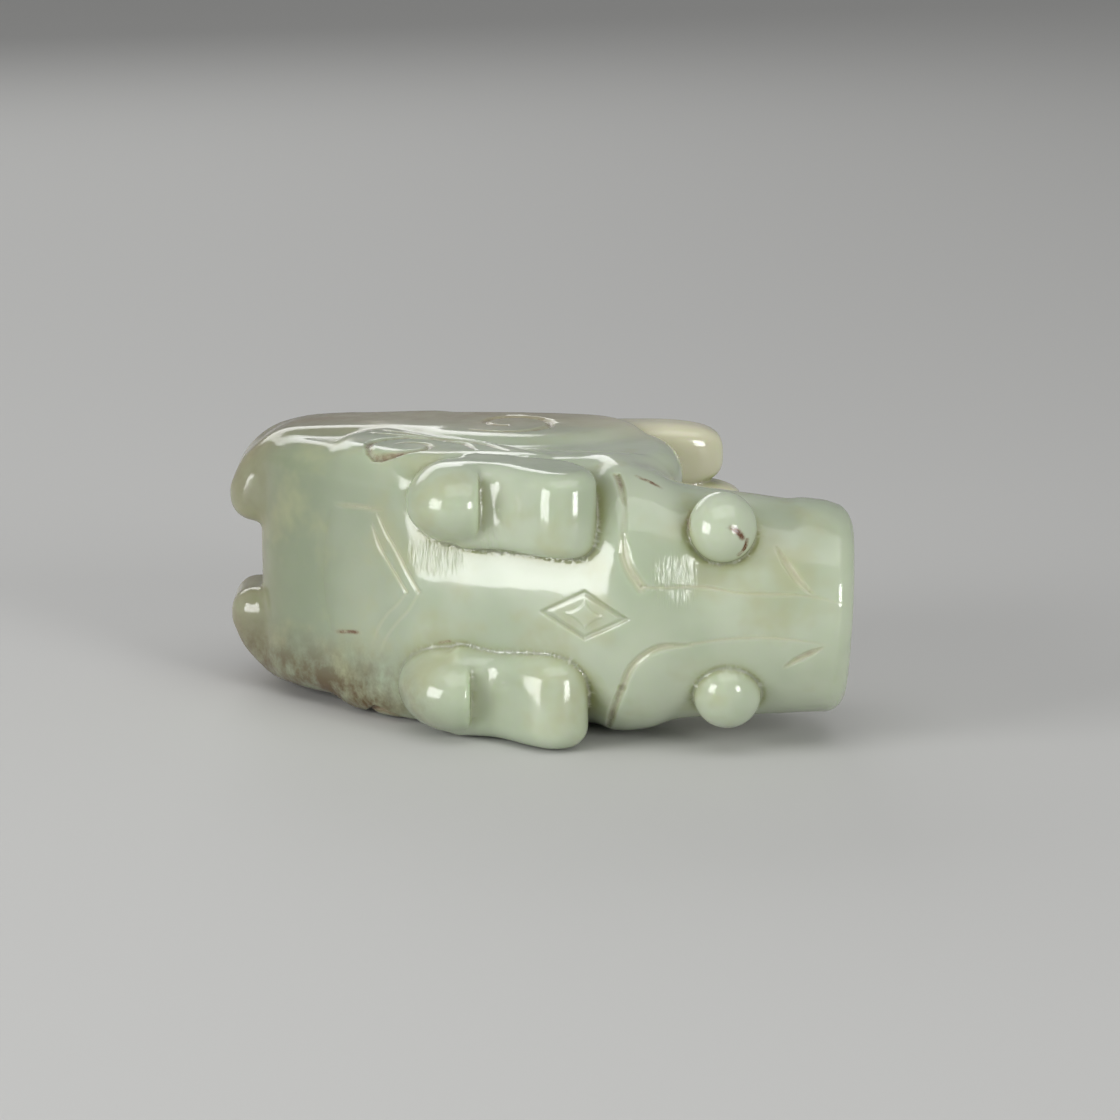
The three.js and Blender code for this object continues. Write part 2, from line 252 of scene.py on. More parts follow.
def tail_plan():
    """The tail from behind its back: a lobe on each side of a notch, before it is rounded."""
    x, z = TAIL_END + TAIL_ROUND, NOTCH_HALF + TAIL_ROUND
    floor = NOTCH_FLOOR + TAIL_ROUND
    outer = curve_through([
        (x, z + 0.5), (x + 0.8, z + 2.2), (x + 2.4, z + 3.6),
        (x + 4.8, HALF - TAIL_ROUND - 0.4), (TAIL_START, HALF - TAIL_ROUND)])
    inner = arc((floor, z - 1.2), (floor, z), (floor - 1.2, z))
    loop = [(-12, -9), (floor, -9), (floor, z - 1.2), *inner, (x, z), *outer]
    return Outline([*loop, (-12, HALF - TAIL_ROUND)], low=(-34, -1), high=(-8, 16))


tail_outline = tail_plan()


def horn_outline(front, wall, **_):
    """A horn from the side: the drum's dome in front, falling to the foot of the ball."""
    return Outline(curve_through([
        (front, 4.0), (front - 0.5, 2.1), (front - 1.6, 1.2), (front - 3.0, 0.9),
        (front - 4.4, 1.25), (front - 5.6, 2.15), (front - 6.8, 3.25), (front - 7.8, 4.25),
        (front - 8.7, 4.9), (wall, 5.2), (wall - 1.6, 5.3), (wall - 2.4, 6.0), (wall - 2.5, 8.5),
        (wall - 1.4, 11.4), (front - 5.2, 10.6), (front - 1.8, 8.6)],
        closed=True), low=(-17, -2), high=(8, 16))


horn_sides = [horn_outline(**horn) for horn in HORNS]


# The masses themselves

def head(x, y, z):
    half, tall = along(x, 1), along(x, 2)
    u = np.maximum(np.abs(y - crown(x) - tall) / tall, 1e-6)
    v = np.maximum(np.abs(z - sway(x)) / half, 1e-6)
    s = (u**HEAD_SQUARE + v**HEAD_SQUARE) ** (1 / HEAD_SQUARE)
    power = HEAD_SQUARE - 1
    slope = np.sqrt(((u / s) ** power / tall) ** 2 + ((v / s) ** power / half) ** 2)
    tube = cut_to((s - 1) / slope, -14 - x, 2.5)
    end = x - BEAK_FRONT - HEAD_TURN * (z - 7.7)
    return cut_to(cut_to(tube, end, BEAK_ROUND), beak_side(x, y), 0.9)


def trunk(x, y, z):
    return cut_to(trunk_side(x, y), np.abs(z) - TRUNK_HALF, TRUNK_ROUND)


def wing(x, y, z):
    out = np.abs(z)
    return cut_to(wing_side(x, y), np.maximum(WING_FROM - out, out - HALF), WING_ROUND)


def haunch(x, y, z):
    return cut_to(haunch_side(x, y), np.abs(z) - HALF, HAUNCH_ROUND)


def tail(x, y, z):
    back = np.clip((TAIL_START - x) / (TAIL_START - TAIL_END), 0, 1)
    thick = TAIL_THICK - TAIL_DROP * back**2
    level = np.maximum(BASE - thick - y, y - BASE)
    return cut_to(tail_outline(x, np.abs(z)) - TAIL_ROUND, level, TAIL_ROUND)


def toe(x, y, z, tip, half, out):
    reach = (tip - HEEL) / 2
    turn = math.radians(3)
    dx, dy = x - HEEL - reach, y - (BASE - TOE_TALL / 2 + 0.4)
    u = dx * math.cos(turn) + dy * math.sin(turn)
    v = dy * math.cos(turn) - dx * math.sin(turn)
    return squared_ball(u, v, np.abs(z) - out, (reach, TOE_TALL / 2, half), 3.4)


def horn(x, y, z, index):
    spec, outline = HORNS[index], horn_sides[index]
    out = z * spec["side"]
    crest = spec["crest"] - SADDLE_LEAN * np.maximum(spec["front"] - 4.7 - x, 0)
    dome = (out - crest) ** 2 / (2 * DOME)
    block = cut_to(outline(x, y - dome), np.maximum(spec["inner"] - out, out - HALF),
                   spec["round"])
    (ball_x, ball_z), size = spec["ball"], spec["size"]
    ball = squared_ball(x - ball_x, y - HORN_BALL_TOP - size[1], out - ball_z, size, 2)
    ball = cut_to(ball, x - spec["wall"], 0.5)
    return merged(block, ball, 0.3)


def eye(x, y, z, spec):
    """A ball whose top leans a little towards the middle of the head."""
    dx, dy = x - spec["x"], y - spec["y"]
    dz = spec["side"] * z - spec["z"] - EYE_LEAN * dy
    return np.sqrt(dx * dx + dy * dy + dz * dz) - spec["radius"]


COVE = dict(x=12.4, z=3.7, long=2.3, wide=2.2, deep=0.6)
SWELLING = dict(x=22.0, z=8.6, long=1.7, wide=1.3, tall=0.3)


def cove(x, z):
    """The hollow that was ground into the face beside the upper eye, and a low swelling on the
    upper edge of the beak."""
    c, s = COVE, SWELLING
    hollow = c["deep"] * np.exp(-((x - c["x"]) / c["long"]) ** 2
                                - ((z - c["z"]) / c["wide"]) ** 2)
    return hollow - s["tall"] * np.exp(-((x - s["x"]) / s["long"]) ** 4
                                       - ((z - s["z"]) / s["wide"]) ** 2)


def moat(distance, width, depth):
    """How far the stone is sunk in a narrow ring round a mass at that distance."""
    t = np.clip(1 - np.abs(distance) / width, 0, 1)
    return depth * t * t * (3 - 2 * t)


def stone(x, y, z, rings=1.0):
    """The whole carving without its fine lines. The coarse net is made with rings at 0: without
    the rings round the horns and eyes, and with softer corners, which it is fine enough for."""
    corner = 0.9 - 0.6 * rings
    skull = head(x, y, z) + cove(x, z)
    body = merged(skull, trunk(x, y, z), 3.0)
    body = merged(body, haunch(x, y, z), 1.4)
    body = merged(body, tail(x, y, z), 1.4)
    for spec in TOES:
        body = merged(body, toe(x, y, z, spec["tip"], spec["half"], spec["z"]), 0.5)
    body = merged(body, wing(x, y, z), 0.7)
    for index in (0, 1):
        bottle = horn(x, y, z, index)
        body = merged(body + rings * moat(bottle, 0.35, 0.1), bottle, corner)
    for spec in EYES:
        ball = eye(x, y, z, spec)
        body = merged(body + rings * moat(ball, 0.5, 0.16), ball, 0.2)
    body = cut_to(body, np.abs(z) - HALF, EDGE)
    return cut_to(body, y - BASE, EDGE)


# Carved lines. Each is a shallow furrow seen from the crown (x, z) or from a flank (x, y).

class Furrow:
    """A carved line: it is sunk by its depth in the middle and nothing at its width.

    Stain says how much soil it holds and frost how rough and pale its floor is, from 0 to 1.
    A stain above 1 is a dark mark, and a depth of 0 leaves the surface as it is.
    """

    def __init__(self, route, width, depth, face, taper=(1, 1), stain=0.1, frost=0.5,
                 smooth=True):
        self.line = curve_through(route, per=5) if smooth else np.array(route, float)
        steps = np.linalg.norm(np.diff(self.line, axis=0), axis=1)
        self.at = np.concatenate([[0], np.cumsum(steps)]) / steps.sum()
        self.width, self.depth, self.face = width, depth, face
        self.taper, self.stain, self.frost = taper, stain, frost

    def nearest(self, x, y, z):
        """Distance to the line in its own plane, and how far along the line that is."""
        p = (x, z) if self.face == "crown" else (x, y)
        best = np.full(np.shape(x), 1e9)
        t_best = np.zeros(np.shape(x))
        for i in range(len(self.line) - 1):
            a, e = self.line[i], self.line[i + 1] - self.line[i]
            t = np.clip(((p[0] - a[0]) * e[0] + (p[1] - a[1]) * e[1]) / (e @ e + 1e-12), 0, 1)
            d = np.hypot(p[0] - a[0] - t * e[0], p[1] - a[1] - t * e[1])
            nearer = d < best
            best = np.where(nearer, d, best)
            t_best = np.where(nearer, self.at[i] + t * (self.at[i + 1] - self.at[i]), t_best)
        return best, t_best

    def faces(self, x, y, z):
        if self.face == "crown":
            return y < crown(x) + 6.5
        return z * (1 if self.face == "upper" else -1) > 6.0

    def reach(self, x, y, z):
        """Points near enough to the line to be looked at."""
        p = (x, z) if self.face == "crown" else (x, y)
        low, high = self.line.min(0) - self.width, self.line.max(0) + self.width
        near = (p[0] > low[0]) & (p[0] < high[0]) & (p[1] > low[1]) & (p[1] < high[1])
        return near & self.faces(x, y, z)

    def strength(self, t):
        """1 along the line, thinning towards ends that run out."""
        ends = 1.0
        for share, from_end in zip(self.taper, (t, 1 - t)):
            if share < 1:
                ends = ends * np.minimum(1, share + (1 - share) * from_end / 0.3)
        return ends

    def sink(self, x, y, z):
        out = np.zeros(np.shape(x))
        near = self.reach(x, y, z)
        if near.any():
            d, t = self.nearest(x[near], y[near], z[near])
            ends = self.strength(t)
            out[near] = self.depth * ends * np.clip(1 - d / (self.width * ends), 0, 1)
        return out


def spiral(cx, cy, outer, turns, start, tighten=0.72):
    t = np.linspace(0, 1, int(turns * 20))
    r, angle = outer * (1 - tighten * t), start + turns * 2 * math.pi * t
    return np.stack([cx + r * np.cos(angle), cy + r * np.sin(angle)], axis=1)


furrows = [
    # Brow and nose, upper side then lower side: deep over the brow, hair-fine along the beak
    Furrow([(4.3, 12.0), (5.1, 10.9), (5.6, 9.1)], 0.4, 0.26, "crown", taper=(1, 0.4), stain=0.5),
    Furrow([(5.6, 9.1), (5.5, 8.0), (5.4, 6.9)], 0.4, 0.08, "crown", taper=(0.4, 1), frost=0.2),
    Furrow([(5.4, 6.9), (5.5, 5.4), (5.9, 4.2), (6.9, 2.75)], 0.6, 0.34, "crown",
           taper=(0.3, 1), stain=0, frost=0.7),
    Furrow([(6.9, 2.75), (9.4, 2.7), (11.9, 2.7), (15.3, 2.25), (21.4, 1.95), (24.8, 1.1)],
           0.2, 0.08, "crown", taper=(1, 0.2)),
    Furrow([(4.2, -11.4), (4.65, -8.64), (5.32, -6.43)], 0.42, 0.28, "crown", taper=(0.5, 1),
           stain=0.35),
    Furrow([(5.32, -6.43), (6.0, -4.54), (7.26, -3.12), (8.54, -2.48), (11.1, -2.21)],
           0.42, 0.28, "crown", taper=(1, 0.3), stain=0.05, frost=0.7),
    Furrow([(11.1, -2.21), (13.65, -1.8), (17.06, -1.6), (20.5, -1.86), (23.05, -2.3)],
           0.2, 0.06, "crown", taper=(1, 0.2)),
    # Nostrils
    Furrow([(18.5, 5.85), (19.0, 5.06), (19.6, 4.24), (20.4, 3.16), (21.5, 2.14)],
           0.42, 0.22, "crown", taper=(0.3, 0.3), frost=0.8),
    Furrow([(19.2, -4.3), (20.5, -3.45), (22.4, -2.47)], 0.38, 0.2, "crown", taper=(0.3, 0.3),
           stain=0.25, frost=0.8),
    # The pointed collar behind the horns, a double line
    Furrow([(-16.5, 5.4), (-15.9, 3.8), (-15.15, 2.6), (-14.15, 1.3), (-13.4, 0.3)],
           0.28, 0.12, "crown", taper=(0.5, 1), stain=0, frost=0.7),
    Furrow([(-13.4, 0.3), (-14.15, -0.9), (-15.2, -2.2), (-16.0, -3.6), (-16.6, -5.2)],
           0.22, 0.04, "crown", taper=(1, 0.2), stain=0, frost=0.3),
    Furrow([(-16.0, 6.5), (-15.3, 5.1), (-14.4, 3.8), (-13.15, 1.75), (-12.3, 0.5)],
           0.28, 0.12, "crown", taper=(0.5, 1), stain=0, frost=0.7),
    Furrow([(-12.3, 0.5), (-13.1, -1.1), (-14.5, -3.0), (-15.4, -4.6), (-16.0, -6.2)],
           0.22, 0.04, "crown", taper=(1, 0.2), stain=0, frost=0.3),
    # The mantle's border on the back
    Furrow([(-19.8, 6.7), (-17.8, 6.9), (-15.7, 7.0)], 0.4, 0.08, "crown", taper=(0.3, 0.3)),
    Furrow([(-20.3, 6.0), (-20.9, 3.0), (-21.0, -1.5), (-20.3, -4.9)], 0.8, 0.1, "crown",
           taper=(0.3, 0.3), stain=0, frost=0),
    # Soil and dark iron marks that lie on the surface, with no depth of their own
    Furrow([(14.5, 8.1), (15.2, 7.6), (15.5, 7.1)], 0.34, 0, "crown", taper=(0.4, 0.7), stain=1.6),
    Furrow([(15.9, 6.9), (15.7, 6.2), (15.2, 5.6)], 0.26, 0, "crown", taper=(0.4, 0.4), stain=2.6),
    Furrow([(11.1, 8.6), (11.0, 7.9), (11.1, 7.2)], 0.2, 0, "crown", taper=(0.3, 0.3), stain=1.0),
    Furrow([(6.6, 6.7), (7.3, 6.4), (8.7, 6.0)], 0.3, 0, "upper", taper=(0.4, 0.2), stain=1.6),
    Furrow([(-20.0, -4.9), (-18.6, -4.6), (-17.6, -4.5)], 0.26, 0, "crown", taper=(0.3, 0.3),
           stain=1.2),
    Furrow([(-9.4, -3.7), (-10.6, -4.0)], 0.2, 0, "crown", taper=(0.3, 0.3), stain=0.9),
]
for side in ("upper", "lower"):
    furrows += [
        Furrow(spiral(-13.6, 16.2, 4.2, 1.25, math.pi / 4), 0.5, 0.4, side, taper=(1, 0.3),
               stain=0.8, smooth=False),
        Furrow(spiral(-4.6, 27.6, 5.0, 1.1, 1.25 * math.pi), 0.55, 0.4, side, taper=(0.3, 0.5),
               stain=0.6, smooth=False),
        Furrow([(-7.4, 14), (-8.6, 17.4), (-12.8, 20.4), (-16.9, 22.6)], 0.45, 0.35, side,
               taper=(0.4, 0.3), stain=0.6),
        Furrow([(-4.6, 13.8), (-7.2, 17.6), (-11.6, 20.6), (-15.9, 23.9)], 0.45, 0.35, side,
               taper=(0.4, 0.3), stain=0.6),
        Furrow([(18.6, 13.4), (17.4, 11.6), (14.6, 11.0), (11.8, 11.8), (11.2, 12.9),
                (12.2, 13.3)], 0.45, 0.35, side, taper=(0.8, 0.4), stain=0.5),
    ]

# The diamond on the forehead: a lozenge sunk a little, with a four-pointed star left in it
DIAMOND = dict(x=2.1, z=-0.03, long=4.0, wide=2.27)
STAR = dict(long=2.1, wide=1.5)


def diamond(x, y, z):
    u, v = np.abs(x - DIAMOND["x"]), np.abs(z - DIAMOND["z"])
    long, wide = DIAMOND["long"], DIAMOND["wide"]
    inside = (1 - u / long - v / wide) / math.hypot(1 / long, 1 / wide)
    star = (u / STAR["long"]) ** 0.62 + (v / STAR["wide"]) ** 0.62
    sunk = 0.22 * np.clip(inside / 0.2, 0, 1) * (1 - 0.6 * rise(inside, 0.25, 0.6))
    raised = 0.16 * (1 - rise(star, 0.8, 1.0))
    return np.where((y < 6) & (inside > 0), np.maximum(sunk - raised, 0), 0)


def ripple(x, y, z):
    """The slight unevenness of a surface that was ground and polished by hand."""
    return (0.02 * np.sin(0.43 * x + 0.31 * y + 1.1) * np.sin(0.57 * z - 0.22 * x)
            + 0.006 * np.sin(1.9 * z + 0.7 * x + 0.4) * np.sin(1.3 * y - 0.9 * x + 2.0))


def carving(x, y, z):
    """The whole carving, with its lines."""
    value = stone(x, y, z) + INSET + ripple(x, y, z) + diamond(x, y, z)
    for line in furrows:
        value = value + line.sink(x, y, z)
    return value


# From the distance to a mesh

def crossing_net(field, low, high, pitch):
    """A closed net of quads round the region where the field is below zero."""
    axes = [np.arange(a, b + pitch, pitch) for a, b in zip(low, high)]
    x, y, z = np.meshgrid(*axes, indexing="ij")
    f = field(x, y, z)
    inside = f < 0
    shape = np.array(f.shape) - 1
    corners = [(i, j, k) for i in (0, 1) for j in (0, 1) for k in (0, 1)]

    def corner(grid, c):
        return grid[c[0]:c[0] + shape[0], c[1]:c[1] + shape[1], c[2]:c[2] + shape[2]]

    count = sum(corner(inside, c).astype(int) for c in corners)
    mixed = (count > 0) & (count < 8)
    cells = np.argwhere(mixed)
    number = np.full(mixed.shape, -1)
    number[mixed] = np.arange(len(cells))
    total = np.zeros((len(cells), 3))
    hits = np.zeros(len(cells))
    for a in corners:
        for axis in range(3):
            if a[axis]:
                continue
            b = tuple(v + (1 if i == axis else 0) for i, v in enumerate(a))
            fa, fb = corner(f, a)[mixed], corner(f, b)[mixed]
            cut = (fa < 0) != (fb < 0)
            t = np.where(cut, fa / np.where(cut, fa - fb, 1), 0)
            place = np.repeat(np.array(a, float)[None], len(cells), axis=0)
            place[:, axis] += t
            total += np.where(cut[:, None], place, 0)
            hits += cut
    points = (cells + total / hits[:, None]) * pitch + np.array([a[0] for a in axes])
    quads = []
    for axis in range(3):
        u, v = (axis + 1) % 3, (axis + 2) % 3
        ahead = [slice(None)] * 3
        behind = [slice(None)] * 3
        ahead[axis], behind[axis] = slice(1, None), slice(None, -1)
        start, end = inside[tuple(behind)], inside[tuple(ahead)]
        at = np.argwhere(start != end)
        at = at[(at[:, u] > 0) & (at[:, v] > 0)]
        out = start[tuple(at.T)]
        ring = []
        for du, dv in ((1, 1), (0, 1), (0, 0), (1, 0)):
            cell = at.copy()
            cell[:, u] -= du
            cell[:, v] -= dv
            ring.append(number[tuple(cell.T)])
        ring = np.stack(ring, axis=1)
        quads += [ring[out], ring[~out][:, ::-1]]
    return points, np.concatenate(quads)


def slope_of(field, p, step=0.01):
    x, y, z = p.T
    here = field(x, y, z)
    ahead = [field(x + step, y, z), field(x, y + step, z), field(x, y, z + step)]
    return here, (np.stack(ahead, axis=1) - here[:, None]) / step


def settle(field, p, passes=2):
    """Moves each point along the slope until it lies on the surface."""
    for _ in range(passes):
        here, slope = slope_of(field, p)
        steep = (slope * slope).sum(1)
        move = np.clip(here / np.maximum(steep, 0.05), -0.3, 0.3)
        p = p - move[:, None] * slope
    return p


def face_normals(p, tris):
    return np.cross(p[tris[:, 1]] - p[tris[:, 0]], p[tris[:, 2]] - p[tris[:, 0]])


def point_normals(p, tris):
    n = face_normals(p, tris)
    total = np.stack([sum(np.bincount(tris[:, k], n[:, c], len(p)) for k in range(3))
                      for c in range(3)], axis=1)
    return total / np.maximum(np.linalg.norm(total, axis=1, keepdims=True), 1e-12)


def edges_of(tris):
    """Each edge once, with the three edge numbers of every triangle."""
    pairs = np.sort(tris[:, [[0, 1], [1, 2], [2, 0]]].reshape(-1, 2), axis=1)
    key = pairs[:, 0].astype(np.int64) * (tris.max() + 1) + pairs[:, 1]
    _, first, which = np.unique(key, return_index=True, return_inverse=True)
    return pairs[first], which.reshape(-1, 3)


def relax(p, tris, passes, share=0.5):
    """Evens the spacing of the points without moving them off the surface."""
    edges, _ = edges_of(tris)
    count = np.bincount(edges.ravel(), minlength=len(p))
    for _ in range(passes):
        mean = np.stack([
            np.bincount(edges[:, 0], p[edges[:, 1], c], len(p))
            + np.bincount(edges[:, 1], p[edges[:, 0], c], len(p)) for c in range(3)], axis=1)
        pull = mean / count[:, None] - p
        n = point_normals(p, tris)
        p = p + share * (pull - (pull * n).sum(1, keepdims=True) * n)
    return p


def refine(p, tris, wanted):
    """Splits the wanted edges in two, and every triangle on them to match."""
    edges, which = edges_of(tris)
    split = wanted(p, tris, edges, which)
    middle = np.full(len(edges), -1)
    middle[split] = len(p) + np.arange(split.sum())
    p = np.concatenate([p, p[edges[split]].mean(1)])
    m = middle[which]
    made = []
    for turn in range(3):
        t, e = np.roll(tris, -turn, axis=1), np.roll(m, -turn, axis=1)
        has = e >= 0
        one = has[:, 0] & ~has[:, 1] & ~has[:, 2]
        a, b, c, ab = t[one, 0], t[one, 1], t[one, 2], e[one, 0]
        made += [np.stack([a, ab, c], 1), np.stack([ab, b, c], 1)]
        two = has[:, 0] & has[:, 1] & ~has[:, 2]
        a, b, c, ab, bc = t[two, 0], t[two, 1], t[two, 2], e[two, 0], e[two, 1]
        made += [np.stack([ab, b, bc], 1), np.stack([a, ab, bc], 1), np.stack([a, bc, c], 1)]
    full = (m >= 0).all(1)
    (a, b, c), (ab, bc, ca) = tris[full].T, m[full].T
    made += [np.stack(s, 1) for s in ((a, ab, ca), (ab, b, bc), (bc, c, ca), (ab, bc, ca))]
    made.append(tris[(m < 0).all(1)])
    return p, np.concatenate(made)


def bends(p, tris, edges, which):
    """The angle between the two faces at each edge."""
    n = face_normals(p, tris)
    n /= np.maximum(np.linalg.norm(n, axis=1, keepdims=True), 1e-12)
    total = np.stack([np.bincount(which.ravel(), np.repeat(n[:, c], 3), len(edges))
                      for c in range(3)], axis=1)
    return 2 * np.arccos(np.clip(np.linalg.norm(total, axis=1) / 2, 0, 1))


def near_lines(p, extra):
    """Where a carved line passes within its width and a little more."""
    x, y, z = p.T
    near = np.zeros(len(p), bool)
    for line in furrows:
        look = line.reach(x, y, z)
        if look.any():
            d, _ = line.nearest(x[look], y[look], z[look])
            near[look] |= d < line.width + extra
    u, v = np.abs(x - DIAMOND["x"]) / DIAMOND["long"], np.abs(z - DIAMOND["z"]) / DIAMOND["wide"]
    return near | ((u + v < 1.12) & (y < 5))


def wanted_at(shortest, bend):
    def wanted(p, tris, edges, which):
        length = np.linalg.norm(p[edges[:, 0]] - p[edges[:, 1]], axis=1)
        middle = p[edges].mean(1)
        long = length > shortest * 1.35
        return long & (near_lines(middle, shortest) | (bends(p, tris, edges, which) > bend))
    return wanted


def shaped():
    """The finished surface: points in mm and triangles."""
    low, high = (TAIL_END - 1, -1.5, -HALF - 1), (BEAK_FRONT + 1, BASE + 1, HALF + 1)

    def smooth(x, y, z):
        return stone(x, y, z, rings=0.0) + INSET + ripple(x, y, z)

    p, quads = crossing_net(smooth, low, high, NET)
    a, b, c, d = quads.T
    across = np.linalg.norm(p[a] - p[c], axis=1) < np.linalg.norm(p[b] - p[d], axis=1)
    tris = np.concatenate([
        quads[across][:, [0, 1, 2]], quads[across][:, [0, 2, 3]],
        quads[~across][:, [0, 1, 3]], quads[~across][:, [1, 2, 3]]])
    p = settle(smooth, p, 3)
    for _ in range(3):
        p = settle(smooth, relax(p, tris, 2), 1)
    p, tris = refine(p, tris, wanted_at(NET / 2, math.radians(14)))
    p = settle(carving, p, 2)
    p = settle(carving, relax(p, tris, 2), 2)
    p, tris = refine(p, tris, wanted_at(FINE, math.radians(16)))
    p = settle(carving, p, 3)
    p = settle(carving, relax(p, tris, 1, 0.3), 2)
    return p, tris


points, triangles = shaped()


# How closed in each place is: 0 on open stone, towards 1 in a crease

def closeness(p, normals, reach):
    q = p + normals * reach
    return np.clip(1 - stone(*q.T) / reach, 0, 1)


def in_the_lines(p):
    """Soil and frosting, 0 to 1 and more, at each point that a carved line or mark passes."""
    x, y, z = p.T
    soil, frost = np.zeros(len(p)), np.zeros(len(p))
    for line in furrows:
        look = line.reach(x, y, z)
        if look.any():
            d, t = line.nearest(x[look], y[look], z[look])
            share = line.strength(t) * rise(-d, -line.width, -0.15 * line.width)
            soil[look] = np.maximum(soil[look], line.stain * share)
            frost[look] = np.maximum(frost[look], line.frost * share)
    return soil, frost


# Patches left with fine grinding marks: x, z, half length and half width
GROUND = [(-10.8, 3.7, 2.9, 1.7), (9.7, 3.2, 2.2, 2.4), (-6.1, 5.6, 1.0, 1.6)]


def ground(p):
    x, y, z = p.T
    reach = [np.hypot((x - cx) / rx, (z - cz) / rz) for cx, cz, rx, rz in GROUND]
    return np.where(y < crown(x) + 4, 1 - rise(np.minimum.reduce(reach), 0.6, 1.2), 0)


normals = point_normals(points, triangles)
# How closed each point is; the material darkens creases olive with it, as painted shade with a
# little soil
crease = 0.55 * closeness(points, normals, 0.7) + 0.45 * closeness(points, normals, 2.2)
stain, frost = in_the_lines(points)
grind = ground(points)


# Into the frame: metres, and the carving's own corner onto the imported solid's

def placed(p):
    low, high = cad_box
    shift = np.array([low.x - TAIL_END * MM, high.y - BASE * MM, low.z + HALF * MM])
    return p * MM + shift


mesh = bpy.data.meshes.new("jade_bird_carving")
where = placed(points)
mesh.vertices.add(len(points))
mesh.vertices.foreach_set("co", where.astype(np.float32).ravel())
mesh.loops.add(len(triangles) * 3)
mesh.loops.foreach_set("vertex_index", triangles.astype(np.int32).ravel())
mesh.polygons.add(len(triangles))
mesh.polygons.foreach_set("loop_start", np.arange(len(triangles), dtype=np.int32) * 3)
mesh.update(calc_edges=True)
mesh.validate()
mesh.shade_smooth()
for name, values in (("crease", crease), ("stain", stain), ("frost", frost), ("grind", grind)):
    layer = mesh.attributes.new(name, "FLOAT", "POINT")
    layer.data.foreach_set("value", values.astype(np.float32))
bird = bpy.data.objects.new("jade_bird_carving", mesh)
bpy.context.scene.collection.objects.link(bird)


# Materials

def linear(hex_colour):
    channels = [int(hex_colour[i:i + 2], 16) / 255 for i in (1, 3, 5)]
    curve = [c / 12.92 if c <= 0.04045 else ((c + 0.055) / 1.055) ** 2.4 for c in channels]
    return (*curve, 1.0)


def add(tree, kind, settings, out=0):
    """Adds a node. A setting that is another node's socket is linked, any other is set."""
    node = tree.nodes.new(kind)
    for name, value in settings.items():
        if isinstance(value, bpy.types.NodeSocket):
            tree.links.new(value, node.inputs[name])
        elif isinstance(name, str) and hasattr(node, name):
            setattr(node, name, value)
        else:
            node.inputs[name].default_value = value
    return node.outputs[out] if node.outputs else None


# Sockets of the Mix node when it mixes colours
SHARE, LOW, HIGH, COLOUR = 0, 6, 7, 2


